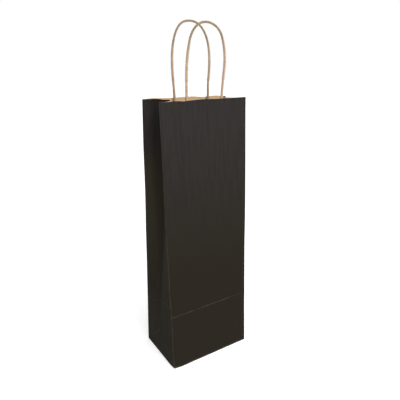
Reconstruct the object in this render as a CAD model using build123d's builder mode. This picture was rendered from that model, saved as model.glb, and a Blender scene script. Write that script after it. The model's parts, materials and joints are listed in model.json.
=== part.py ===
from build123d import *
import math
import os

# Wine gift bag of kraft paper: a block-bottomed tube of one folded sheet with V-shaped side gussets,
# and two twisted paper cord handles whose tails are glued between patch strips inside the rim.
# Origin: centre of the bottom. +Z up, front wall towards -Y, gussets at -X and +X.
# At rest the mouth stands half closed: both walls lean in and the gussets fold inward.

# Driving dimensions, in millimetres
width = 120.0
depth = 80.0
wall_height = 350.0
sheet = 0.2
rim_half_depth = 19.6
gusset_fold_at_rim = 22.8
flap_overlap = 8.0
seam_lap_width = 12.0
seam_lap_inset = 6.0
patch_width = 84.0
patch_height = 34.0
patch_below_rim = 5.0
cord_diameter = 3.2
leg_spacing = 48.6
front_handle_centre = 1.6
back_handle_centre = 5.2
front_handle_lean = 6.0
back_handle_lean = 0.0
slot_clearance = 0.05
fold_clearance = 0.1

# Worked out from the driving dimensions
half_width = width / 2
half_depth = depth / 2
cord_radius = cord_diameter / 2
wall_lean = math.degrees(math.asin((half_depth - rim_half_depth) / wall_height))
rim_height = wall_height * math.cos(math.radians(wall_lean))
bottom_stack = 3 * sheet
wall_foot = bottom_stack + fold_clearance
tail_depth = 2 * sheet + cord_radius
pivot_above_rim = cord_radius + 0.3
tail_top = wall_height + pivot_above_rim - cord_radius - 0.2
tail_bottom = wall_height - patch_below_rim - patch_height + 3.0
ball_radius = 0.98 * cord_radius

# Control points of each handle's route in its own plane: across from the handle's middle, and up
# from the swing axis. The loops differ a little, as hand-glued paper cords do.
front_route = [
    (-24.3, 0.0),
    (-25.4, 14.0),
    (-25.8, 33.0),
    (-25.2, 52.0),
    (-21.4, 68.0),
    (-11.6, 79.6),
    (3.0, 81.2),
    (15.0, 73.8),
    (22.6, 59.6),
    (26.0, 41.0),
    (25.4, 20.0),
    (24.3, 0.0),
]
back_route = [
    (-24.3, 0.0),
    (-25.2, 16.0),
    (-26.0, 35.0),
    (-25.6, 54.0),
    (-21.6, 70.5),
    (-11.8, 82.8),
    (3.0, 84.8),
    (16.0, 79.0),
    (24.4, 66.4),
    (27.6, 49.0),
    (27.4, 30.0),
    (26.2, 14.0),
    (24.3, 0.0),
]

os.makedirs("parts", exist_ok=True)


def save(piece, name):
    piece.part.label = name
    export_step(piece.part, f"parts/{name}.step")


def wall_plane(side):
    """Outer face of the front (-1) or back (+1) wall: local Y up the wall, local Z outward."""
    lean = math.radians(wall_lean)
    return Plane(
        origin=(0, side * half_depth, 0),
        x_dir=(-side, 0, 0),
        z_dir=(0, side * math.cos(lean), math.sin(lean)),
    )


def make_bottom_flap(name, side, lifted):
    """Trapezoid folded under from a wall; the lifted one steps over the other's tip."""
    fold = side * half_depth
    tip = -side * flap_overlap
    tip_half_width = half_width - half_depth - flap_overlap
    step = side * (flap_overlap + fold_clearance)
    with BuildPart() as flap:
        with BuildSketch():
            with BuildLine():
                Polyline(
                    (-half_width, fold),
                    (half_width, fold),
                    (tip_half_width, tip),
                    (-tip_half_width, tip),
                    close=True,
                )
            make_face()
        extrude(amount=2 * sheet if lifted else sheet)
        if lifted:
            outer_length = half_depth - flap_overlap - fold_clearance - sheet
            outer_middle = side * (half_depth - outer_length / 2)
            with BuildSketch(Plane.XY.offset(sheet)):
                with Locations((0, outer_middle)):
                    Rectangle(2 * width, outer_length)
            extrude(amount=sheet, mode=Mode.SUBTRACT)
            inner_length = 2 * flap_overlap + fold_clearance
            with BuildSketch(Plane.XY):
                with Locations((0, step - side * inner_length / 2)):
                    Rectangle(2 * width, inner_length)
            extrude(amount=sheet, mode=Mode.SUBTRACT)
    save(flap, name)


def make_bottom_tuck(name, side):
    """Side flap folded in first, lying over both bottom flaps inside the bag."""
    edge = side * half_width
    shoulder = side * (half_width - 26.0)
    tip = side * (half_width - 46.0)
    tip_half_depth = half_depth - 20.0
    with BuildPart() as tuck:
        with BuildSketch(Plane.XY.offset(2 * sheet)):
            with BuildLine():
                Polyline(
                    (edge, -half_depth),
                    (edge, half_depth),
                    (shoulder, half_depth),
                    (tip, tip_half_depth),
                    (tip, -tip_half_depth),
                    (shoulder, -half_depth),
                    close=True,
                )
            make_face()
        extrude(amount=sheet)
    save(tuck, name)


def make_gusset_triangle(name, side):
    """Upright triangle at the foot of a gusset, between the two 45 degree folds."""
    foot = half_depth - 2 * sheet
    with BuildPart() as triangle:
        with BuildSketch(Plane.YZ.offset(side * half_width)):
            with BuildLine():
                Polyline(
                    (-foot, wall_foot),
                    (foot, wall_foot),
                    (0, wall_foot + foot),
                    close=True,
                )
            make_face()
        extrude(amount=-side * sheet)
    save(triangle, name)


def make_gusset_half(name, side, wall_side):
    """Half a gusset: a flat triangle beside the corner, and the triangle that folds inward."""
    foot = half_depth - 2 * sheet
    gap = 3 * fold_clearance
    seam = wall_side * fold_clearance
    edge = side * half_width
    corner_foot = Vector(edge, wall_side * foot, wall_foot + gap)
    apex = Vector(edge, seam, wall_foot + foot + gap)
    corner_rim = Vector(edge, wall_side * (rim_half_depth - 2 * sheet), rim_height)
    fold_rim = Vector(side * (half_width - gusset_fold_at_rim), seam, rim_height)
    inward = Vector(-side, 0, 0)
    with BuildPart() as half:
        for corners in ((corner_foot, apex, corner_rim), (apex, fold_rim, corner_rim)):
            first, second, third = corners
            along = second - first
            normal = along.cross(third - first)
            plane = Plane(origin=first, x_dir=along, z_dir=normal)
            outline = [plane.to_local_coords(corner) for corner in corners]
            with BuildSketch(plane):
                with BuildLine():
                    Polyline(*[(point.X, point.Y) for point in outline], close=True)
                make_face()
            extrude(amount=sheet, dir=inward)
    save(half, name)


def make_wall_panel(name, side):
    with BuildPart() as panel:
        with BuildSketch(wall_plane(side)):
            with Locations((0, (wall_foot + wall_height) / 2)):
                Rectangle(width, wall_height - wall_foot)
        extrude(amount=-sheet)
    save(panel, name)


def make_seam_lap(name):
    """Glued lap of the sheet's end, running down the back wall beside a corner."""
    lap_foot = 4.0
    lap_middle = half_width - seam_lap_inset - seam_lap_width / 2
    with BuildPart() as lap:
        with BuildSketch(wall_plane(1)):
            with Locations((lap_middle, (lap_foot + wall_height) / 2)):
                Rectangle(seam_lap_width, wall_height - lap_foot)
        extrude(amount=sheet)
    save(lap, name)


def patch_profile_plane(side):
    """Cross-section plane at the patches' lower edge: local X across the wall, local Y outward."""
    wall = wall_plane(side)
    low = wall_height - patch_below_rim - patch_height
    return Plane(
        origin=wall.from_local_coords((0, low, 0)),
        x_dir=wall.x_dir,
        z_dir=-wall.y_dir,
    )


def leg_places(side, centre):
    """Where the two legs stand across the wall, in the wall plane's own X."""
    middle = -side * centre
    return [middle - leg_spacing / 2, middle + leg_spacing / 2]


def make_outer_patch(name, side, centre):
    with BuildPart() as patch:
        with BuildSketch(patch_profile_plane(side)):
            with Locations((-side * centre, -1.5 * sheet)):
                Rectangle(patch_width, sheet)
        extrude(amount=-patch_height)
    save(patch, name)


def make_inner_patch(name, side, centre):
    """Strip glued over the tails, with a ridge round each of them."""
    face = -2 * sheet
    slot_radius = cord_radius + slot_clearance
    ridge_radius = slot_radius + sheet
    tails = [(place, -tail_depth) for place in leg_places(side, centre)]
    webs = [(place, (face - tail_depth) / 2) for place in leg_places(side, centre)]
    with BuildPart() as patch:
        with BuildSketch(patch_profile_plane(side)):
            with Locations((-side * centre, face - sheet / 2)):
                Rectangle(patch_width, sheet)
            with Locations(*webs):
                Rectangle(2 * ridge_radius, cord_radius)
            with Locations(*tails):
                Circle(ridge_radius)
            with Locations(*webs):
                Rectangle(2 * slot_radius, cord_radius, mode=Mode.SUBTRACT)
            with Locations(*tails):
                Circle(slot_radius, mode=Mode.SUBTRACT)
            with Locations((-side * centre, face / 2)):
                Rectangle(2 * patch_width, -face, mode=Mode.SUBTRACT)
        extrude(amount=-patch_height)
    save(patch, name)


def make_tails(name, side, centre):
    wall = wall_plane(side)
    tail_plane = Plane(
        origin=wall.from_local_coords((0, tail_bottom, -tail_depth)),
        x_dir=wall.x_dir,
        z_dir=wall.y_dir,
    )
    with BuildPart() as tails:
        with BuildSketch(tail_plane):
            with Locations(*[(place, 0) for place in leg_places(side, centre)]):
                Circle(cord_radius)
        extrude(amount=tail_top - tail_bottom)
    save(tails, name)


def corner_radii(points):
    """Arc radius at each inner point: 0.45 of the shorter run over the tangent of half the turn."""
    radii = []
    for before, here, after in zip(points, points[1:], points[2:]):
        come = Vector(*here) - Vector(*before)
        leave = Vector(*after) - Vector(*here)
        half_turn = math.radians(come.get_angle(leave)) / 2
        radii.append(0.45 * min(come.length, leave.length) / math.tan(half_turn))
    return radii


def make_handle(name, side, centre, lean, route):
    """Loop of cord standing above the rim, with a rounded end on the swing axis at each leg."""
    axis_place = wall_plane(side).from_local_coords(
        (-side * centre, wall_height + pivot_above_rim, -tail_depth)
    )
    tilt = math.radians(lean)
    handle_plane = Plane(
        origin=axis_place,
        x_dir=(1, 0, 0),
        z_dir=(0, -math.cos(tilt), side * math.sin(tilt)),
    )
    radii = corner_radii(route)
    with BuildPart() as handle:
        with BuildLine(handle_plane) as path:
            FilletPolyline(*route, radius=radii)
        centreline = path.wire()
        with BuildSketch(Plane(origin=centreline @ 0, z_dir=centreline % 0)):
            Circle(cord_radius)
        sweep()
        with Locations(centreline @ 0, centreline @ 1):
            Sphere(ball_radius)
    length = centreline.length
    expected = math.pi * cord_radius**2 * length
    print(name, "axis", axis_place, "length", round(length, 1), "radii", [round(r, 1) for r in radii])
    print(name, "volume", round(handle.part.volume), "section times length", round(expected))
    save(handle, name)


make_bottom_flap("bottom_front_flap", -1, lifted=False)
make_bottom_flap("bottom_back_flap", 1, lifted=True)
for side_name, side in (("left", -1), ("right", 1)):
    make_bottom_tuck(f"bottom_{side_name}_tuck", side)
    make_gusset_triangle(f"{side_name}_gusset_triangle", side)
    make_gusset_half(f"{side_name}_gusset_front_half", side, -1)
    make_gusset_half(f"{side_name}_gusset_back_half", side, 1)

walls = (
    ("front", -1, front_handle_centre, front_handle_lean, front_route),
    ("back", 1, back_handle_centre, back_handle_lean, back_route),
)
for wall_name, side, centre, lean, route in walls:
    make_wall_panel(f"{wall_name}_panel", side)
    make_outer_patch(f"{wall_name}_outer_patch", side, centre)
    make_inner_patch(f"{wall_name}_inner_patch", side, centre)
    make_tails(f"{wall_name}_handle_tails", side, centre)
    make_handle(f"{wall_name}_handle", side, centre, lean, route)
make_seam_lap("back_seam_lap")
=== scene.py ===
import json
import math

import bmesh
import bpy
import numpy as np
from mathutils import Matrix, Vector, noise


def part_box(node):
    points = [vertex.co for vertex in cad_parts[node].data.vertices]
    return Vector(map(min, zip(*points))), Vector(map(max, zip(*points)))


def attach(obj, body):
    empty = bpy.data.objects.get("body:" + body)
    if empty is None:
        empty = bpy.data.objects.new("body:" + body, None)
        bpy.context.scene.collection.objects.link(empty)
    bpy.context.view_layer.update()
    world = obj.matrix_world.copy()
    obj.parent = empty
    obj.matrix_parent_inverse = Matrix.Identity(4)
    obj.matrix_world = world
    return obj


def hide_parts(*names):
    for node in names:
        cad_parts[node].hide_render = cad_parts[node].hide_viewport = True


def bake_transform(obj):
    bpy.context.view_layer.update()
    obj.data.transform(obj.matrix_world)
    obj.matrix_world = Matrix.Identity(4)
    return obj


# Wine gift bag of kraft paper, black outside and natural inside, with two twisted paper cord handles.
# Row frame, metres: front wall towards -Y, gussets at -X and +X, origin at the middle of the bottom.
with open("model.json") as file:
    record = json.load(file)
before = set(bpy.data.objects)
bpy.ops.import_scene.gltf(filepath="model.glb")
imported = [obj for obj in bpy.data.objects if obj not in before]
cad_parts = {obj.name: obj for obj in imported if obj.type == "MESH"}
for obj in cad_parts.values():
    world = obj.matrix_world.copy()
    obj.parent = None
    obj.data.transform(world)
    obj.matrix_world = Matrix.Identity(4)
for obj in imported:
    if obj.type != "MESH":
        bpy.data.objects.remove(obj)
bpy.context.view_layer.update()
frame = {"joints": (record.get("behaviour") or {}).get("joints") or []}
joints = {joint["name"]: joint for joint in frame["joints"]}

FRONT, BACK = -1, 1
LEFT, RIGHT = -1, 1
WALL_NAMES = {FRONT: "front", BACK: "back"}
SIDE_NAMES = {LEFT: "left", RIGHT: "right"}

# Sizes taken from the frame
panel_low, panel_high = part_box("front_panel")
HALF_WIDTH = panel_high.x
HALF_DEPTH = -panel_low.y
RIM_Z = panel_high.z
LEAN = math.radians(joints["front_wall_lean"]["range_deg"][1])
SIN_LEAN, COS_LEAN = math.sin(LEAN), math.cos(LEAN)
WALL_HEIGHT = RIM_Z / COS_LEAN
DEPTH = 2 * HALF_DEPTH
APEX_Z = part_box("left_gusset_triangle")[1].z
CAD_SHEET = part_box("bottom_front_flap")[1].z
GUSSET_FOLD_AT_RIM = HALF_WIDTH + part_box("left_gusset_front_half")[1].x + CAD_SHEET
CAD_SHEET_LAYERS = {"front": 0.0, "back": 0.0, "tuck": 2 * CAD_SHEET}

# Sizes of the paper and the cord that the frame doesn't say
PAPER = 0.00025
FOLD_RADIUS = 0.00045
FOOT = 0.0009
BOTTOM_CREASE = DEPTH
# On the gussets the crease slants: how much higher than on the walls it meets each corner.
CREASE_AT_FRONT, CREASE_AT_BACK, CREASE_END = 0.0150, -0.0020, 0.036
CREASE_RIDGE = 0.00022
CORD_DEPTH = 0.0020
LAY_PITCH = 0.0092


# ---------------------------------------------------------------- camera, lights and floor

BRIGHT_SIDE = (0.47, -0.67, 0.57)
ROOM_DIM = 0.08
ROOM_BRIGHT = 0.50
SUN_FROM = (-0.05, -0.45, 0.89)
SUN_STRENGTH = 1.7
SUN_WIDTH = 70
KEY_PLACE = (0.04, -0.42, 0.62)
KEY_SIZE = 0.26
KEY_POWER = 1.6
FLOOR_SIZE = 6.0
FLOOR_GLOW = 0.5


def make_camera():
    """The photograph's viewing angle: from the front left, looking down by about 21 degrees."""
    camera = bpy.data.objects.new("camera", bpy.data.cameras.new("camera"))
    bpy.context.scene.collection.objects.link(camera)
    camera.location = (-0.26737, -0.42936, 0.39476)
    pitch_down, yaw_right = math.radians(20.72), math.radians(32.54)
    camera.rotation_euler = (math.pi / 2 - pitch_down, 0, -yaw_right)
    camera.data.sensor_width = 36
    camera.data.lens = 36.69
    camera.data.shift_y = 0.03
    camera.data.clip_start = 0.01
    bpy.context.scene.camera = camera


def soft_light(name, place, target, size, power, colour=(1, 1, 1)):
    data = bpy.data.lights.new(name, "AREA")
    data.shape = "DISK"
    data.size = size
    data.energy = power
    data.color = colour
    light = bpy.data.objects.new(name, data)
    light.location = place
    light.rotation_euler = (Vector(target) - Vector(place)).to_track_quat("-Z", "Y").to_euler()
    bpy.context.scene.collection.objects.link(light)


def make_world():
    """A white room to look at. It lights the bag most from the front and above, least from the left."""
    world = bpy.data.worlds.new("studio")
    world.use_nodes = True
    tree = world.node_tree
    tree.nodes.clear()
    towards = add_node(tree, "ShaderNodeTexCoord").outputs["Generated"]
    facing = add_node(tree, "ShaderNodeVectorMath", {0: towards, 1: BRIGHT_SIDE}, operation="DOT_PRODUCT")
    level = mapped(tree, facing.outputs["Value"], -0.6, 0.9, ROOM_DIM, ROOM_BRIGHT)
    lighting = add_node(tree, "ShaderNodeBackground", {"Strength": level})
    seen = add_node(tree, "ShaderNodeBackground", {"Color": (1, 1, 1, 1), "Strength": 1.0})
    by_camera = add_node(tree, "ShaderNodeLightPath").outputs["Is Camera Ray"]
    both = add_node(tree, "ShaderNodeMixShader", {0: by_camera, 1: lighting.outputs[0], 2: seen.outputs[0]})
    output = add_node(tree, "ShaderNodeOutputWorld")
    tree.links.new(both.outputs[0], output.inputs["Surface"])
    bpy.context.scene.world = world


def make_sun():
    """A very wide sun, as from a large softbox, that keeps the floor white."""
    data = bpy.data.lights.new("softbox", "SUN")
    data.energy = SUN_STRENGTH
    data.angle = math.radians(SUN_WIDTH)
    light = bpy.data.objects.new("softbox", data)
    light.rotation_euler = Vector(SUN_FROM).to_track_quat("Z", "Y").to_euler()
    bpy.context.scene.collection.objects.link(light)


def make_studio():
    scene = bpy.context.scene
    scene.view_settings.view_transform = "Standard"
    make_world()
    make_sun()
    soft_light("key", KEY_PLACE, (0, 0, 0.30), KEY_SIZE, KEY_POWER)
    mesh = bpy.data.meshes.new("floor")
    corners = [(x * FLOOR_SIZE, y * FLOOR_SIZE, 0) for x, y in ((-1, -1), (1, -1), (1, 1), (-1, 1))]
    mesh.from_pydata(corners, [], [(0, 1, 2, 3)])
    floor = bpy.data.objects.new("floor", mesh)
    scene.collection.objects.link(floor)
    mesh.materials.append(floor_material())


# ---------------------------------------------------------------- materials


def add_node(tree, kind, inputs=None, **settings):
    made = tree.nodes.new(kind)
    for name, value in settings.items():
        setattr(made, name, value)
    for name, value in (inputs or {}).items():
        if isinstance(value, bpy.types.NodeSocket):
            tree.links.new(value, made.inputs[name])
        else:
            made.inputs[name].default_value = value
    return made


def maths(tree, operation, first, second=0.0):
    return add_node(tree, "ShaderNodeMath", {0: first, 1: second}, operation=operation).outputs[0]


def mapped(tree, value, low, high, to_low=0.0, to_high=1.0):
    inputs = {"Value": value, "From Min": low, "From Max": high, "To Min": to_low, "To Max": to_high}
    return add_node(tree, "ShaderNodeMapRange", inputs, interpolation_type="SMOOTHSTEP").outputs[0]


def mixed(tree, factor, first, second, blend="MIX"):
    made = add_node(tree, "ShaderNodeMix", data_type="RGBA", blend_type=blend)
    for socket, value in ((made.inputs[0], factor), (made.inputs[6], first), (made.inputs[7], second)):
        if isinstance(value, bpy.types.NodeSocket):
            tree.links.new(value, socket)
        else:
            socket.default_value = value
    return made.outputs[2]


def stretched(tree, vector, scale):
    inputs = {"Vector": vector, "Scale": scale}
    return add_node(tree, "ShaderNodeMapping", inputs).outputs[0]


def clouds(tree, vector, scale, detail=3.0, roughness=0.55):
    inputs = {"Vector": vector, "Scale": scale, "Detail": detail, "Roughness": roughness}
    return add_node(tree, "ShaderNodeTexNoise", inputs).outputs[0]


def new_material(name):
    """(material, its node tree, its Principled shader)"""
    material = bpy.data.materials.new(name)
    material.use_nodes = True
    tree = material.node_tree
    tree.nodes.clear()
    shader = add_node(tree, "ShaderNodeBsdfPrincipled")
    output = add_node(tree, "ShaderNodeOutputMaterial")
    tree.links.new(shader.outputs[0], output.inputs[0])
    return material, tree, shader


def srgb(red, green, blue):
    """Linear colour of an 8-bit sRGB colour."""
    linear = []
    for value in (red / 255, green / 255, blue / 255):
        linear.append(value / 12.92 if value <= 0.04045 else ((value + 0.055) / 1.055) ** 2.4)
    return (*linear, 1.0)


CORNER_WEAR, FOOT_LINE, CREASE_WEAR, DIAGONAL_WEAR = 0.38, 0.90, 0.25, 0.18
INK_DARK, INK_LIGHT = srgb(38, 35, 34), srgb(46, 42, 41)
INK_BROWN, LOW_DOWN_TONE = srgb(43, 40, 36), srgb(35, 31, 22)
INK_WORN, INK_FLECK = srgb(112, 108, 99), srgb(92, 84, 74)
# Painted light: a paler, browner tone that lightens the gussets at middle heights.
GUSSET_PAINTED_LIGHT = srgb(48, 44, 34)
# Strength of the painted shade in the depth of the gussets' middle fold.
PAINTED_FOLD_SHADE = 0.34


def floor_material():
    """A white light table: it glows a little, which keeps shadows faint."""
    material, tree, shader = new_material("pale_floor")
    place = add_node(tree, "ShaderNodeTexCoord").outputs["Object"]
    grain = clouds(tree, place, 6.0)
    colour = mixed(tree, grain, (0.90, 0.90, 0.90, 1), (0.93, 0.93, 0.93, 1))
    tree.links.new(colour, shader.inputs["Base Color"])
    shader.inputs["Roughness"].default_value = 0.9
    shader.inputs["Specular IOR Level"].default_value = 0.1
    shader.inputs["Emission Color"].default_value = (1, 1, 1, 1)
    shader.inputs["Emission Strength"].default_value = FLOOR_GLOW
    return material


def attribute(tree, name, output):
    return add_node(tree, "ShaderNodeAttribute", attribute_name=name).outputs[output]


def rib_height(tree, across_up):
    """Height of the machine ribs that run up kraft paper, uneven from rib to rib."""
    rib = clouds(tree, stretched(tree, across_up, (850.0, 14.0, 1.0)), 1.0, 1.0)
    band = clouds(tree, stretched(tree, across_up, (230.0, 5.0, 1.0)), 1.0, 2.0)
    return maths(tree, "ADD", maths(tree, "MULTIPLY", rib, 0.7), maths(tree, "MULTIPLY", band, 0.3))


def along_line(tree, distance, half_width):
    """1 on a line and 0 beyond half_width from it, given the distance to the line."""
    return mapped(tree, maths(tree, "ABSOLUTE", distance), half_width * 0.2, half_width, 1.0, 0.0)


def strongest(tree, *values):
    most = values[0]
    for value in values[1:]:
        most = maths(tree, "MAXIMUM", most, value)
    return most


def gusset_share(tree, from_wall):
    """1 on the gussets and 0 on the walls, given how far a point lies in from its wall."""
    return mapped(tree, from_wall, 0.0006, 0.0012)


def fold_wear(tree):
    """How worn the folds are: upright corners and the creases of the flat-packed bag; also a lighter line along the
    bottom folds.
    """
    axes = add_node(tree, "ShaderNodeSeparateXYZ", {0: attribute(tree, "rest", "Vector")})
    x = maths(tree, "ABSOLUTE", axes.outputs[0])
    y = maths(tree, "ABSOLUTE", axes.outputs[1])
    z = axes.outputs[2]
    wall_y = maths(tree, "SUBTRACT", HALF_DEPTH, maths(tree, "MULTIPLY", z, math.tan(LEAN)))
    from_side = maths(tree, "SUBTRACT", HALF_WIDTH, x)
    from_wall = maths(tree, "SUBTRACT", wall_y, y)
    gusset = gusset_share(tree, from_wall)
    slant = mapped(tree, axes.outputs[1], -CREASE_END, CREASE_END, CREASE_AT_FRONT, CREASE_AT_BACK)
    crease_height = maths(tree, "ADD", maths(tree, "MULTIPLY", slant, gusset), BOTTOM_CREASE * COS_LEAN)
    from_crease = maths(tree, "SUBTRACT", z, crease_height)
    from_diagonal = maths(tree, "SUBTRACT", maths(tree, "ADD", y, z), APEX_Z)
    lower_part = mapped(tree, z, 0.02, 0.30, CORNER_WEAR, 0.2 * CORNER_WEAR)
    corner = along_line(tree, maths(tree, "MAXIMUM", from_side, from_wall), 0.0010)
    corner = maths(tree, "MULTIPLY", corner, lower_part)
    to_border = maths(tree, "MINIMUM", from_side, maths(tree, "SUBTRACT", HALF_DEPTH, y))
    near_border = mapped(tree, to_border, 0.001, 0.008, 1.0, 0.25)
    # A lighter line along the bottom folds, strongest near the corners.
    foot = maths(tree, "MULTIPLY", mapped(tree, z, 0.0006, 0.0034, FOOT_LINE, 0.0), near_border)
    crease_wear = mapped(tree, gusset, 0.0, 1.0, CREASE_WEAR, 0.5 * CREASE_WEAR)
    crease = maths(tree, "MULTIPLY", along_line(tree, from_crease, 0.0010), crease_wear)
    diagonal = maths(tree, "MULTIPLY", along_line(tree, from_diagonal, 0.0011), DIAGONAL_WEAR)
    return strongest(tree, corner, foot, crease, diagonal)


def gusset_painted_light_and_shade(tree, ink):
    """The gussets' tone: paler and browner than the walls' at middle heights, which is painted light, and darker in the
    depth of the middle fold, which is painted shade.
    """
    axes = add_node(tree, "ShaderNodeSeparateXYZ", {0: attribute(tree, "rest", "Vector")})
    y = maths(tree, "ABSOLUTE", axes.outputs[1])
    z = axes.outputs[2]
    from_side = maths(tree, "SUBTRACT", HALF_WIDTH, maths(tree, "ABSOLUTE", axes.outputs[0]))
    wall_y = maths(tree, "SUBTRACT", HALF_DEPTH, maths(tree, "MULTIPLY", z, math.tan(LEAN)))
    gusset = gusset_share(tree, maths(tree, "SUBTRACT", wall_y, y))
    # Painted light: the gussets turn paler at middle heights.
    painted_light_heights = maths(tree, "MULTIPLY", mapped(tree, z, 0.09, 0.24), mapped(tree, z, 0.26, 0.31, 1.0, 0.0))
    ink = mixed(tree, maths(tree, "MULTIPLY", gusset, painted_light_heights), ink, GUSSET_PAINTED_LIGHT)
    # Painted shade: the upper gussets darken towards their middle fold.
    deep = maths(tree, "MULTIPLY", mapped(tree, from_side, 0.004, 0.010), mapped(tree, z, 0.06, 0.10))
    shade = maths(tree, "MULTIPLY", maths(tree, "MULTIPLY", deep, gusset), PAINTED_FOLD_SHADE)
    return mixed(tree, shade, ink, (0, 0, 0, 1))


def black_kraft():
    """Kraft paper printed black on its outer face: fine upright ribs, uneven ink and worn folds, with painted light and
    painted shade on the gussets.
    """
    material, tree, shader = new_material("black_kraft_paper")
    across_up = attribute(tree, "paper", "Vector")
    height_up = add_node(tree, "ShaderNodeSeparateXYZ", {0: across_up}).outputs[1]
    ribs = rib_height(tree, across_up)
    streaks = clouds(tree, stretched(tree, across_up, (320.0, 24.0, 1.0)), 1.0, 4.0, 0.6)
    patches = clouds(tree, across_up, 28.0, 4.0, 0.6)
    ink = mixed(tree, mapped(tree, streaks, 0.3, 0.7), INK_DARK, INK_LIGHT)
    ink = mixed(tree, mapped(tree, patches, 0.4, 0.7, 0.0, 0.35), ink, INK_BROWN)
    # Darker and browner towards the bottom.
    ink = mixed(tree, mapped(tree, height_up, 0.10, 0.34, 0.9, 0.0), ink, LOW_DOWN_TONE)
    # Painted light and painted shade on the gussets.
    ink = gusset_painted_light_and_shade(tree, ink)
    chips = mapped(tree, clouds(tree, across_up, 420.0, 3.0, 0.7), 0.35, 0.62, 0.3, 1.0)
    gaps = mapped(tree, clouds(tree, across_up, 60.0, 2.0, 0.6), 0.38, 0.60, 0.25, 1.0)
    wear = maths(tree, "MULTIPLY", fold_wear(tree), maths(tree, "MULTIPLY", chips, gaps))
    colour = mixed(tree, wear, ink, INK_WORN)
    flecks = mapped(tree, clouds(tree, across_up, 900.0, 2.0, 0.5), 0.74, 0.80, 0.0, 0.25)
    colour = mixed(tree, flecks, colour, INK_FLECK)
    tree.links.new(colour, shader.inputs["Base Color"])
    tree.links.new(mapped(tree, streaks, 0.3, 0.7, 0.80, 0.92), shader.inputs["Roughness"])
    shader.inputs["IOR"].default_value = 1.16
    fuzz = maths(tree, "MULTIPLY", clouds(tree, across_up, 2600.0, 2.0), 0.3)
    height = maths(tree, "ADD", ribs, fuzz)
    bump = add_node(tree, "ShaderNodeBump", {"Height": height, "Distance": 0.00006, "Strength": 0.8})
    tree.links.new(bump.outputs[0], shader.inputs["Normal"])
    return material


def natural_kraft(name, base, shade):
    """Unprinted kraft paper: pale brown with short fibres, faint clouds and a few dark specks."""
    material, tree, shader = new_material(name)
    across_up = attribute(tree, "paper", "Vector")
    upright = clouds(tree, stretched(tree, across_up, (1300.0, 210.0, 1.0)), 1.0, 4.0, 0.65)
    level = clouds(tree, stretched(tree, across_up, (260.0, 1500.0, 1.0)), 1.0, 3.0, 0.6)
    fibres = maths(tree, "ADD", maths(tree, "MULTIPLY", upright, 0.6), maths(tree, "MULTIPLY", level, 0.4))
    patches = clouds(tree, across_up, 45.0, 4.0, 0.6)
    colour = mixed(tree, mapped(tree, fibres, 0.36, 0.62), shade, base)
    colour = mixed(tree, mapped(tree, patches, 0.35, 0.7, 0.0, 0.3), colour, shade)
    specks = mapped(tree, clouds(tree, across_up, 1300.0, 2.0, 0.5), 0.72, 0.80, 0.0, 0.6)
    colour = mixed(tree, specks, colour, srgb(130, 96, 62))
    tree.links.new(colour, shader.inputs["Base Color"])
    shader.inputs["Roughness"].default_value = 0.85
    shader.inputs["Specular IOR Level"].default_value = 0.2
    height = maths(tree, "ADD", rib_height(tree, across_up), maths(tree, "MULTIPLY", fibres, 0.5))
    bump = add_node(tree, "ShaderNodeBump", {"Height": height, "Distance": 0.00007, "Strength": 0.8})
    tree.links.new(bump.outputs[0], shader.inputs["Normal"])
    return material


def raw_edge():
    material, tree, shader = new_material("raw_paper_edge")
    across_up = attribute(tree, "paper", "Vector")
    grain = clouds(tree, across_up, 700.0, 3.0, 0.6)
    colour = mixed(tree, mapped(tree, grain, 0.35, 0.65), srgb(200, 182, 158), srgb(240, 228, 208))
    tree.links.new(colour, shader.inputs["Base Color"])
    shader.inputs["Roughness"].default_value = 0.9
    shader.inputs["Specular IOR Level"].default_value = 0.2
    return material


def cord_kraft():
    material, tree, shader = new_material("twisted_cord_kraft")
    along_ply = attribute(tree, "fibre", "Vector")
    groove = attribute(tree, "groove", "Fac")
    wrinkles = clouds(tree, stretched(tree, along_ply, (1500.0, 260.0, 1.0)), 1.0, 4.0, 0.6)
    tone = clouds(tree, stretched(tree, along_ply, (240.0, 120.0, 1.0)), 1.0, 3.0, 0.6)
    colour = mixed(tree, mapped(tree, wrinkles, 0.3, 0.7), srgb(158, 132, 110), srgb(208, 183, 157))
    colour = mixed(tree, mapped(tree, tone, 0.4, 0.7, 0.0, 0.5), colour, srgb(170, 144, 120))
    # Painted shade: the cord is darker over the top of its arc.
    painted_arc_shade = maths(tree, "MULTIPLY", attribute(tree, "bend", "Fac"), mapped(tree, tone, 0.35, 0.6, 0.55, 0.90))
    colour = mixed(tree, painted_arc_shade, colour, srgb(126, 108, 82))
    # Painted shade: darker colour in the grooves between the plies.
    colour = mixed(tree, mapped(tree, groove, 0.30, 1.0, 0.0, 0.85), colour, srgb(84, 62, 46))
    tree.links.new(colour, shader.inputs["Base Color"])
    shader.inputs["Roughness"].default_value = 0.75
    shader.inputs["Specular IOR Level"].default_value = 0.25
    bump = add_node(tree, "ShaderNodeBump", {"Height": wrinkles, "Distance": 0.00012, "Strength": 0.8})
    tree.links.new(bump.outputs[0], shader.inputs["Normal"])
    return material


# ---------------------------------------------------------------- the sheet's shape


def smooth(value, low, high):
    """0 up to low, 1 from high, with a soft start and end between them."""
    t = np.clip((np.asarray(value, float) - low) / (high - low), 0, 1)
    return t * t * (3 - 2 * t)


def hill(x, centre, half_width):
    """A smooth hill of height 1, nought beyond half_width from its centre."""
    return np.cos(np.clip((x - centre) / half_width, -1, 1) * math.pi / 2) ** 2


def on_wall(wall, x, up, inward=0.0):
    """Points of the front or back wall: x across the bag, up the wall, and inward from its outer face."""
    x, up, inward = np.broadcast_arrays(x, up, inward)
    y = wall * (HALF_DEPTH - up * SIN_LEAN - inward * COS_LEAN)
    z = up * COS_LEAN - inward * SIN_LEAN
    return np.stack([x, y, z], axis=-1)


def wall_normal(wall):
    return np.array([0, wall * COS_LEAN, SIN_LEAN])


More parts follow.
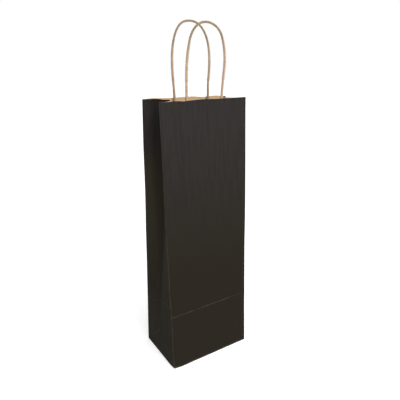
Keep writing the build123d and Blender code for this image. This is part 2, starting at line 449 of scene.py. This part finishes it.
# Where the paper gives between the handle legs, and where its rim was cut a little high or low:
# (x of the middle, half of the width, how much)
DENTS = {
    FRONT: [(-0.0410, 0.0170, 0.0018), (0.0016, 0.0220, 0.0026)],
    BACK: [(-0.0390, 0.0180, 0.0012), (0.0052, 0.0220, 0.0020)],
}
CUTS = {
    FRONT: [
        (-0.0420, 0.0140, -0.0002),
        (-0.0270, 0.0090, -0.0006),
        (0.0020, 0.0180, 0.0001),
        (0.0600, 0.0300, 0.0004),
    ],
    BACK: [
        (-0.0600, 0.0300, 0.0011),
        (-0.0600, 0.0130, -0.0010),
        (-0.0380, 0.0180, 0.0005),
        (0.0000, 0.0250, 0.0006),
        (0.0240, 0.0180, -0.0010),
        (0.0600, 0.0200, -0.0016),
    ],
}
DENT_REACH = 0.090
CUT_REACH = 0.020
CORNER_FLARE = 0.0018
FLARE_REACH = 0.150
RIGHT_BULGE, BULGE_Z, BULGE_HALF_HEIGHT = 0.0009, 0.215, 0.120
BLUNT, BLUNT_REACH = 0.0008, 0.012
SWAY = 0.00035
SWAY_SCALE = 16.0


def handled(points):
    """The ideal paper as it really stands: dented below the rim, flared at its corners, cut unevenly, wavy."""
    shape = np.shape(points)
    flat = np.array(points, float).reshape(-1, 3)
    moved = flat.copy()
    x, y, z = flat.T
    for wall in (FRONT, BACK):
        beside = smooth(wall * y, 0.003, 0.008)
        dent_share = beside * smooth(z, RIM_Z - DENT_REACH, RIM_Z)
        cut_share = beside * smooth(z, RIM_Z - CUT_REACH, RIM_Z)
        for centre, half_width, amount in DENTS[wall]:
            moved[:, 1] -= wall * dent_share * amount * hill(x, centre, half_width)
        for centre, half_width, amount in CUTS[wall]:
            moved[:, 2] += cut_share * amount * hill(x, centre, half_width)
        flare_share = smooth(wall * y, 0.0, 0.018) * smooth(z, RIM_Z - FLARE_REACH, RIM_Z)
        moved[:, 1] += wall * CORNER_FLARE * flare_share * smooth(np.abs(x), 0.034, 0.058)
    moved[:, 0] += RIGHT_BULGE * hill(z, BULGE_Z, BULGE_HALF_HEIGHT) * smooth(x, 0.040, 0.060)
    crushed = smooth(-x, HALF_WIDTH - BLUNT_REACH, HALF_WIDTH) * smooth(-y, HALF_DEPTH - BLUNT_REACH, HALF_DEPTH)
    crushed *= 1 - smooth(z, 0, BLUNT_REACH)
    moved += BLUNT * crushed[:, None] * np.array([0.8, 0.8, 1])
    share = smooth(z, 0.002, 0.030) * (1 - smooth(z, RIM_Z, RIM_Z + 0.03))
    sway = np.array([noise.noise_vector(Vector(p) * SWAY_SCALE) for p in flat])
    moved += SWAY * share[:, None] * sway
    return moved.reshape(shape)


def crease_lift(up, slant=0.0):
    """How far the crease of the flat-packed bag stands out, where it runs slant higher than on the walls."""
    return CREASE_RIDGE * np.exp(-(((up - BOTTOM_CREASE - slant) / 0.0010) ** 2))


def graded(low, high, count, extras=(), apart=0.0004):
    """Evenly spaced numbers from low to high, with the extras put in and their near neighbours left out."""
    even = [v for v in np.linspace(low, high, count) if all(abs(v - e) > apart for e in extras)]
    return np.array(sorted({*even, *extras}))


ROWS = graded(
    FOOT,
    WALL_HEIGHT,
    76,
    extras=[
        *(FOOT + step for step in (0.0, 0.0007, 0.0016, 0.003)),
        *(BOTTOM_CREASE + step for step in (-0.0025, -0.0012, -0.0005, 0.0, 0.0005, 0.0012, 0.0025)),
        *(BOTTOM_CREASE + step for step in np.arange(0.0035, 0.0165, 0.001)),
        *(WALL_HEIGHT - step for step in (0.0, 0.0008, 0.002)),
    ],
    apart=0.0009,
)
ARC = np.radians([90, 68, 45, 22])


def wall_columns():
    """Across a wall, from its left corner to its right: x, inward and the normal's turn towards the side."""
    flat_edge = HALF_WIDTH - FOLD_RADIUS
    near = [0.0, 0.0006, 0.0014, 0.0028]
    flats = graded(
        -flat_edge,
        flat_edge,
        46,
        extras=[*(-flat_edge + v for v in near), *(flat_edge - v for v in near)],
        apart=0.0012,
    )
    turns = np.concatenate([-ARC, np.zeros(len(flats)), ARC[::-1]])
    x = np.concatenate([-flat_edge + FOLD_RADIUS * np.sin(-ARC), flats, flat_edge + FOLD_RADIUS * np.sin(ARC[::-1])])
    inward = FOLD_RADIUS * (1 - np.cos(turns))
    return x, inward, turns


def grid_normals(points):
    """Normals of a grid of points, not yet made to point outward."""
    along = np.gradient(points, axis=1)
    up = np.gradient(points, axis=0)
    normals = np.cross(along, up)
    return normals / np.maximum(np.linalg.norm(normals, axis=2, keepdims=True), 1e-12)


def wall_grid(wall):
    """(outer points, normals, paper coordinates) of a wall with its rounded upright corners."""
    x, inward, turns = wall_columns()
    up = ROWS[:, None]
    lift = crease_lift(up) * np.cos(turns)[None, :]
    points = on_wall(wall, x[None, :], up, inward[None, :] - lift)
    points[:, :, 0] += crease_lift(up) * np.sin(turns)[None, :]
    sideways = np.array([1.0, 0, 0])
    normals = np.cos(turns)[:, None] * wall_normal(wall) + np.sin(turns)[:, None] * sideways
    normals = np.broadcast_to(normals, points.shape)
    across = x + FOLD_RADIUS * turns
    paper = paper_coordinates(across[None, :], up, 0.1 * (wall + 2), points.shape)
    return points, normals, paper


def paper_coordinates(across, up, layer, shape):
    across, up, layer = np.broadcast_arrays(across, up, layer)
    return np.broadcast_to(np.stack([across, up, layer], axis=-1), shape)


RIPPLE, RIPPLE_COUNT = 0.00016, 6
ROUNDNESS_AT_RIM = {FRONT: 2.4, BACK: 1.0}
FOLD_RIDGE, FOLD_RIDGE_HALF = 0.00020, 0.0006
GUSSET_STEPS = 20


def gusset_inset(from_wall, share, wall):
    """How deep half a gusset is pushed in, as a share of its middle fold's depth. It is a sharp valley low
    down. At the rim its front half stays near the front wall and then turns, and its back half is straight."""
    sharp = from_wall ** (2.0 - share)
    roundness = ROUNDNESS_AT_RIM[wall]
    at_rim = (1 - (1 - from_wall) ** roundness) ** (1 / roundness)
    return (1 - share) * sharp + share * at_rim


def gusset_grid(side, wall):
    """(outer points, normals, paper coordinates) of half a gusset, from its upright corner to its middle fold."""
    steps = np.linspace(0, 1, GUSSET_STEPS)
    corner = on_wall(wall, side * HALF_WIDTH, ROWS, FOLD_RADIUS)
    rows = []
    papers = []
    for row, up in zip(corner, ROWS):
        z = row[2]
        reach = abs(row[1])
        share = (z - APEX_Z) / (RIM_Z - APEX_Z)
        if share < 0:
            bend = (APEX_Z - z) / reach
        else:
            bend = share * (HALF_DEPTH - WALL_HEIGHT * SIN_LEAN) / reach
        bend = min(max(bend, 0.06), 0.94)
        half = FOLD_RIDGE_HALF / reach
        t = np.concatenate([1 - steps**1.6 * (1 - bend - half), [bend], (bend - half) * (1 - steps)])
        above = min(max(share, 0), 1)
        inset = GUSSET_FOLD_AT_RIM * above * gusset_inset(1 - t, above, wall)
        ripple = RIPPLE * above**3 * np.sin(t * RIPPLE_COUNT * 2 * math.pi) * np.sin(t * math.pi)
        ridge = ripple + np.where(np.arange(len(t)) == len(steps), FOLD_RIDGE if share < 0 else 0.0, 0.0)
        slant = CREASE_AT_BACK + (CREASE_AT_FRONT - CREASE_AT_BACK) * smooth(-wall * reach * t, -CREASE_END, CREASE_END)
        at_border = smooth(t, 0.985, 1.0)
        lift = (1 - at_border) * crease_lift(up, slant) + at_border * crease_lift(up)
        x = side * (HALF_WIDTH - inset + ridge + lift)
        heights = row[2] * t + up * COS_LEAN * (1 - t)
        rows.append(np.stack([x, wall * reach * t, heights], axis=-1))
        layer = 0.5 + 0.1 * side + 0.3 * wall
        papers.append(paper_coordinates(HALF_WIDTH + reach * (1 - t), up, layer, (len(t), 3)))
    points = np.array(rows)
    normals = grid_normals(points)
    outward = np.array([side, 0.0, 0.0])
    for row in normals:
        row *= 1 if row[-1] @ outward > 0 else -1
    normals[:, 0] = outward
    mitre = np.clip(1 / np.maximum(np.abs(normals[:, -2, 0]), 0.1), 1, 1.8)
    normals[:, -1] = mitre[:, None] * outward
    return points, normals, np.array(papers)


# ---------------------------------------------------------------- meshes from grids


def set_attribute(mesh, name, kind, values):
    made = mesh.attributes.new(name, kind, "POINT")
    key = "vector" if kind == "FLOAT_VECTOR" else "value"
    made.data.foreach_set(key, np.asarray(values, np.float32).ravel())


def link_mesh(name, vertices, faces, smooth_faces, slots, materials):
    mesh = bpy.data.meshes.new(name)
    mesh.from_pydata([tuple(v) for v in vertices], [], faces)
    for material in materials:
        mesh.materials.append(material)
    mesh.polygons.foreach_set("use_smooth", smooth_faces)
    mesh.polygons.foreach_set("material_index", slots)
    shaping = bmesh.new()
    shaping.from_mesh(mesh)
    bmesh.ops.recalc_face_normals(shaping, faces=shaping.faces[:])
    shaping.to_mesh(mesh)
    shaping.free()
    piece = bpy.data.objects.new(name, mesh)
    bpy.context.scene.collection.objects.link(piece)
    return piece


def sheet_piece(name, outer, inner, paper, materials, raw=(), ring=False):
    """A closed thin sheet between two grids of points: outer face, inner face and borders.
    materials are outer, inner and cut edge; raw names the borders that are cut edges."""
    rows, columns = outer.shape[:2]
    count = rows * columns
    faces, smooth_faces, slots = [], [], []

    def quad(a, b, c, d, is_smooth, slot):
        faces.append((a, b, c, d))
        smooth_faces.append(is_smooth)
        slots.append(slot)

    last = columns if ring else columns - 1
    for i in range(rows - 1):
        for j in range(last):
            k = (j + 1) % columns
            corners = (i * columns + j, i * columns + k, (i + 1) * columns + k, (i + 1) * columns + j)
            quad(*corners, True, 0)
            quad(*[count + c for c in reversed(corners)], True, 1)
    borders = {"low": [j for j in range(columns)], "high": [(rows - 1) * columns + j for j in range(columns)]}
    if ring:
        borders = {key: [*line, line[0]] for key, line in borders.items()}
    else:
        borders["first"] = [i * columns for i in range(rows)]
        borders["last"] = [i * columns + columns - 1 for i in range(rows)]
    for key, line in borders.items():
        slot = 2 if key in raw else 0
        for a, b in zip(line, line[1:]):
            quad(a, b, count + b, count + a, False, slot)
    ideal = np.concatenate([outer.reshape(-1, 3), inner.reshape(-1, 3)])
    piece = link_mesh(name, handled(ideal), faces, smooth_faces, slots, materials)
    set_attribute(piece.data, "rest", "FLOAT_VECTOR", ideal)
    layers = np.concatenate([paper.reshape(-1, 3), paper.reshape(-1, 3) + (0, 0, 3.0)])
    set_attribute(piece.data, "paper", "FLOAT_VECTOR", layers)
    return piece


# ---------------------------------------------------------------- the paper pieces


# A wall's lowest edge stands this much clear of the bottom fold, so that it can lean inward.
LEAN_ROOM = 0.00001


def make_walls(materials):
    grids = {}
    for wall, name in WALL_NAMES.items():
        outer, normals, paper = wall_grid(wall)
        above_fold = outer.copy()
        above_fold[0, :, 2] += LEAN_ROOM
        inner = above_fold - PAPER * normals
        piece = sheet_piece(f"{name}_wall_paper", above_fold, inner, paper, materials, raw=("high",))
        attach(piece, f"{name}_wall")
        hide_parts(f"{name}_panel")
        grids[wall] = (outer, normals, paper)
    return grids


def make_gussets(materials):
    grids = {}
    for side, side_name in SIDE_NAMES.items():
        for wall, wall_name in WALL_NAMES.items():
            outer, normals, paper = gusset_grid(side, wall)
            inner = outer - PAPER * normals
            name = f"{side_name}_gusset_{wall_name}_paper"
            piece = sheet_piece(name, outer, inner, paper, materials, raw=("high",))
            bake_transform(piece)
            nodes = [f"{side_name}_gusset_{wall_name}_half"]
            if wall == FRONT:
                nodes.append(f"{side_name}_gusset_triangle")
            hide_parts(*nodes)
            grids[side, wall] = (outer, normals, paper)
    return grids


def make_bottom_folds(wall_grids, gusset_grids, materials):
    """The rounded folds where the walls and gussets turn under, as one ring round the foot of the bag."""
    front, back = (wall_grids[wall] for wall in (FRONT, BACK))
    runs = [
        (front, slice(None, None, 1)),
        (gusset_grids[RIGHT, FRONT], slice(1, None, 1)),
        (gusset_grids[RIGHT, BACK], slice(-2, 0, -1)),
        (back, slice(None, None, -1)),
        (gusset_grids[LEFT, BACK], slice(1, None, 1)),
        (gusset_grids[LEFT, FRONT], slice(-2, 0, -1)),
    ]
    top = np.concatenate([grid[0][0, cut] for grid, cut in runs])
    normals = np.concatenate([grid[1][0, cut] for grid, cut in runs])
    papers = np.concatenate([grid[2][0, cut] for grid, cut in runs])
    level = normals * (1, 1, 0)
    level /= np.linalg.norm(level, axis=1, keepdims=True)
    lowest = CAD_SHEET_LAYERS["tuck"] * np.abs(level[:, 0])
    outer, inner, paper = [], [], []
    for angle in np.radians([90, 75, 60, 45, 30, 15, 0]):
        drop = (top[:, 2] - lowest) * np.sin(angle)
        inset = FOOT * (1 - np.cos(angle))
        ring = top - inset * level
        ring[:, 2] = top[:, 2] - drop
        turned = level * np.cos(angle) - np.array([0, 0, np.sin(angle)])
        outer.append(ring)
        inner.append(ring - PAPER * turned)
        paper.append(papers - (0, FOOT * angle, 0))
    piece = sheet_piece("bottom_folds", np.array(outer), np.array(inner), np.array(paper), materials, ring=True)
    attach(piece, "base")


def make_flap(name, node, across, along, half_widths, heights, turned, materials):
    """A flap of the folded bottom. along are its places from fold to tip, half_widths and heights go with them;
    turned says that along runs in x and the width in y."""
    share = np.linspace(-1, 1, across)
    wide = half_widths[:, None] * share[None, :]
    long = np.broadcast_to(along[:, None], wide.shape)
    z = np.broadcast_to(heights[:, None], wide.shape)
    parts = [long, wide, z] if turned else [wide, long, z]
    outer = np.stack(parts, axis=-1)
    inner = outer + np.array([0, 0, CAD_SHEET * 0.96])
    paper = np.stack([wide, -np.abs(long), 0 * z + 0.9], axis=-1)
    piece = sheet_piece(name, outer, inner, paper, materials, raw=("high", "first", "last"))
    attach(piece, "base")
    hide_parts(node)


def make_bottom(materials):
    fold = HALF_DEPTH - FOOT
    overlap = -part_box("bottom_back_flap")[0].y
    for wall, name in WALL_NAMES.items():
        along = np.linspace(wall * fold, -wall * overlap, 30)
        turned_under = fold - wall * along
        half_widths = HALF_WIDTH - FOOT - turned_under
        lifted = 1 - smooth(wall * along, overlap + 0.0002, overlap + 0.0014)
        heights = (CAD_SHEET * lifted) if wall == BACK else np.zeros(len(along))
        heights = heights + CAD_SHEET * 0.02
        make_flap(f"bottom_{name}_flap_paper", f"bottom_{name}_flap", 22, along, half_widths, heights, False, materials)
    for side, name in SIDE_NAMES.items():
        low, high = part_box(f"bottom_{name}_tuck")
        tip = high.x if side == LEFT else low.x
        shoulder = tip + side * 0.020
        along = graded(*sorted((side * (HALF_WIDTH - FOOT), tip)), 20, extras=[shoulder], apart=0.001)[::-side]
        half_widths = fold - 0.020 * np.clip((shoulder - along) * side / 0.020, 0, 1)
        heights = np.full(len(along), CAD_SHEET_LAYERS["tuck"] + CAD_SHEET * 0.02)
        make_flap(f"bottom_{name}_tuck_paper", f"bottom_{name}_tuck", 22, along, half_widths, heights, True, materials)


def make_seam_lap(materials):
    """The sheet's glued end, which comes round the corner and ends in a cut edge on the back wall."""
    low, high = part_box("back_seam_lap")
    start = -HALF_WIDTH + FOLD_RADIUS
    x = graded(start, high.x, 12, extras=[low.x])
    up = graded(0.0040, WALL_HEIGHT - 0.0002, 70, extras=[BOTTOM_CREASE + v for v in (-0.0012, -0.0005, 0, 0.0005, 0.0012)], apart=0.001)
    lift = 0.00002 + CAD_SHEET * smooth(x, start, low.x)
    ridge = crease_lift(up[:, None])
    outer = on_wall(BACK, x[None, :], up[:, None], -lift[None, :] - ridge)
    inner = on_wall(BACK, x[None, :], up[:, None], -0.00001 - ridge)
    paper = paper_coordinates(x[None, :], up[:, None], 0.7, outer.shape)
    piece = sheet_piece("back_seam_lap_paper", outer, inner, paper, materials, raw=("high", "last", "low"))
    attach(piece, "back_wall")
    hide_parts("back_seam_lap")


# ---------------------------------------------------------------- handle strips and cords

HANDLE_CENTRE = {FRONT: joints["front_handle_swing"]["pos_m"][0], BACK: joints["back_handle_swing"]["pos_m"][0]}
HANDLE_LEAN = {FRONT: math.radians(6.0), BACK: 0.0}
LEG_OFFSET = 0.0243
BEND_FROM, BEND_FULL = 0.040, 0.072
BEND_THINNING = 0.20
TAIL_BOTTOM = WALL_HEIGHT - 0.0335

# Control points of each handle's route in its own plane: across from the handle's middle, and up
# from the swing axis.
ROUTES = {
    FRONT: [
        (-0.0243, 0.0),
        (-0.0251, 0.0141),
        (-0.0260, 0.0333),
        (-0.0251, 0.0526),
        (-0.0220, 0.0695),
        (-0.0121, 0.0793),
        (0.0027, 0.0810),
        (0.0152, 0.0738),
        (0.0216, 0.0597),
        (0.0256, 0.0411),
        (0.0246, 0.0200),
        (0.0243, 0.0),
    ],
    BACK: [
        (-0.0243, 0.0),
        (-0.0254, 0.0160),
        (-0.0265, 0.0351),
        (-0.0259, 0.0538),
        (-0.0217, 0.0708),
        (-0.0132, 0.0826),
        (0.0025, 0.0836),
        (0.0153, 0.0788),
        (0.0230, 0.0662),
        (0.0264, 0.0487),
        (0.0262, 0.0299),
        (0.0242, 0.0140),
        (0.0243, 0.0),
    ],
}


def strip_rows(low, high):
    return graded(low, high, 16, extras=[low + v for v in (0.0, 0.001, 0.002, 0.003, 0.0045)], apart=0.0008)


def make_strips(kraft, edge):
    """Two strips to a handle: one on the wall, and one over the cord's tails that stands up round them."""
    strip_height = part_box("front_outer_patch")[1].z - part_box("front_outer_patch")[0].z
    strip_length = strip_height / COS_LEAN
    high = WALL_HEIGHT - (RIM_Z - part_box("front_outer_patch")[1].z) / COS_LEAN
    for wall, name in WALL_NAMES.items():
        low_corner, high_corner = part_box(f"{name}_outer_patch")
        legs = [HANDLE_CENTRE[wall] - LEG_OFFSET, HANDLE_CENTRE[wall] + LEG_OFFSET]
        near = [v * 0.0006 for v in range(-8, 9)]
        x = graded(low_corner.x, high_corner.x, 36, extras=[leg + v for leg in legs for v in near], apart=0.0005)
        up = strip_rows(high - strip_length, high)
        under = on_wall(wall, x[None, :], up[:, None], PAPER + 0.00001)
        over = on_wall(wall, x[None, :], up[:, None], 2 * CAD_SHEET)
        paper = paper_coordinates(x[None, :], up[:, None], 1.3 + 0.1 * wall, under.shape)
        borders = ("low", "high", "first", "last")
        piece = sheet_piece(f"{name}_wall_strip", under, over, paper, (kraft, kraft, edge), raw=borders)
        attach(piece, f"{name}_wall")
        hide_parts(f"{name}_outer_patch")
        stand = sum(np.exp(-(np.abs(x - leg) / 0.00250) ** 4) for leg in legs)
        grip = smooth(up, up[0] - 0.001, TAIL_BOTTOM - 0.0002)
        ridge = 0.00330 * stand[None, :] * grip[:, None]
        face = 2 * CAD_SHEET + 0.00002
        under = on_wall(wall, x[None, :], up[:, None], face + ridge)
        over = on_wall(wall, x[None, :], up[:, None], face + CAD_SHEET + ridge)
        piece = sheet_piece(f"{name}_cord_strip", under, over, paper + (0, 0, 0.37), (kraft, kraft, edge), raw=borders)
        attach(piece, f"{name}_wall")
        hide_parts(f"{name}_inner_patch")


def smooth_line(points):
    """The points of the NURBS curve with these control points."""
    curve = bpy.data.curves.new("route", "CURVE")
    curve.dimensions = "3D"
    curve.resolution_u = 24
    spline = curve.splines.new("NURBS")
    spline.points.add(len(points) - 1)
    for control, point in zip(spline.points, points):
        control.co = (*point, 1)
    spline.order_u = 3
    spline.use_endpoint_u = True
    holder = bpy.data.objects.new("route", curve)
    mesh = bpy.data.meshes.new_from_object(holder)
    line = np.array([v.co for v in mesh.vertices], float)
    bpy.data.meshes.remove(mesh)
    bpy.data.objects.remove(holder)
    bpy.data.curves.remove(curve)
    return line


def evenly(line, step):
    """The same line with points about step apart, and how far along it each one is."""
    along = np.concatenate([[0], np.cumsum(np.linalg.norm(np.diff(line, axis=0), axis=1))])
    at = np.linspace(0, along[-1], math.ceil(along[-1] / step) + 1)
    return np.stack([np.interp(at, along, line[:, k]) for k in range(3)], axis=1), at


def carried_frames(line, first_normal):
    """Two directions across the line at each of its points, carried along it without twist."""
    tangents = np.gradient(line, axis=0)
    tangents /= np.linalg.norm(tangents, axis=1, keepdims=True)
    normal = np.array(first_normal, float)
    normals = []
    for tangent in tangents:
        normal = normal - (normal @ tangent) * tangent
        normal /= np.linalg.norm(normal)
        normals.append(normal)
    normals = np.array(normals)
    return normals, np.cross(tangents, normals)


def cord_section(angles, turn):
    """(radius, groove depth) round a three-ply cord: turn is how far the plies have twisted at that ring."""
    plies = 3
    ply_offset, ply_radius = 0.00056, 0.00104
    spread = 2 * math.pi / plies
    away = (angles - turn + spread / 2) % spread - spread / 2
    radius = ply_offset * np.cos(away) + np.sqrt(ply_radius**2 - (ply_offset * np.sin(away)) ** 2)
    return radius, (np.abs(away) / (spread / 2)) ** 2, away


def make_cord(wall, material):
    name = WALL_NAMES[wall]
    joint = joints[f"{name}_handle_swing"]
    pivot = np.array(joint["pos_m"])
    lean = HANDLE_LEAN[wall]
    up = np.array([0, wall * math.sin(lean), math.cos(lean)])
    centre = HANDLE_CENTRE[wall]
    tail_places = TAIL_BOTTOM + np.array([0.0, 0.011, 0.021, 0.029])
    controls = [*on_wall(wall, centre - LEG_OFFSET, tail_places, CORD_DEPTH)]
    controls += [pivot + (across, 0, 0) + rise * up for across, rise in ROUTES[wall]]
    controls += [*on_wall(wall, centre + LEG_OFFSET, tail_places[::-1], CORD_DEPTH)]
    line, along = evenly(handled(smooth_line(controls)), 0.00042)
    normals, others = carried_frames(line, (0, -wall, 0))
    around = 36
    angles = np.linspace(0, 2 * math.pi, around, endpoint=False)
    vertices, grooves, fibres, bends = [], [], [], []
    for place, normal, other, far in zip(line, normals, others, along):
        uneven = noise.noise(Vector((far * 90, wall, 0.5)))
        turn = 2 * math.pi * (far / LAY_PITCH + 0.10 * uneven)
        radius, groove, away = cord_section(angles, turn)
        # Share of the top of the arc: it thins the cord and sets where the cord material paints shade.
        bend = smooth(place[2] - pivot[2], BEND_FROM, BEND_FULL)
        thick = (1 - BEND_THINNING * bend) * (1 + 0.035 * noise.noise(Vector((far * 260, 3.0 * wall, 7.1))))
        for angle, r, g, a in zip(angles, radius, groove, away):
            wrinkle = noise.noise(Vector((a * 2.6, far * 240, 1.7 * wall + math.floor((angle - turn) * 0.4775))))
            r = r * thick * (1 + 0.030 * wrinkle)
            vertices.append(place + r * (math.cos(angle) * normal + math.sin(angle) * other))
            grooves.append(g)
            fibres.append((a * 0.0011, far, wall))
            bends.append(bend)
    rings = len(line)
    faces = []
    for i in range(rings - 1):
        for j in range(around):
            k = (j + 1) % around
            faces.append((i * around + j, i * around + k, (i + 1) * around + k, (i + 1) * around + j))
    faces.append(tuple(range(around)))
    faces.append(tuple((rings - 1) * around + j for j in range(around)))
    smooth_faces = [True] * (len(faces) - 2) + [False] * 2
    piece = link_mesh(f"{name}_cord", vertices, faces, smooth_faces, [0] * len(faces), [material])
    set_attribute(piece.data, "groove", "FLOAT", grooves)
    set_attribute(piece.data, "fibre", "FLOAT_VECTOR", fibres)
    set_attribute(piece.data, "bend", "FLOAT", bends)
    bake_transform(piece)
    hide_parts(f"{name}_handle", f"{name}_handle_tails")
    strip_top = on_wall(wall, centre - LEG_OFFSET, TAIL_BOTTOM + 0.0285, CORD_DEPTH)


make_camera()
for wall in (FRONT, BACK):
    make_cord(wall, cord_kraft() if wall == FRONT else bpy.data.materials["twisted_cord_kraft"])
make_studio()
black = black_kraft()
inside = natural_kraft("natural_kraft_inside", srgb(216, 187, 151), srgb(200, 168, 129))
strip_kraft = natural_kraft("natural_kraft_strip", srgb(208, 176, 138), srgb(190, 156, 116))
edge = raw_edge()
sheet_materials = (black, inside, edge)
walls = make_walls(sheet_materials)
gussets = make_gussets(sheet_materials)
make_bottom_folds(walls, gussets, sheet_materials)
make_bottom(sheet_materials)
make_seam_lap((black, black, edge))
make_strips(strip_kraft, edge)
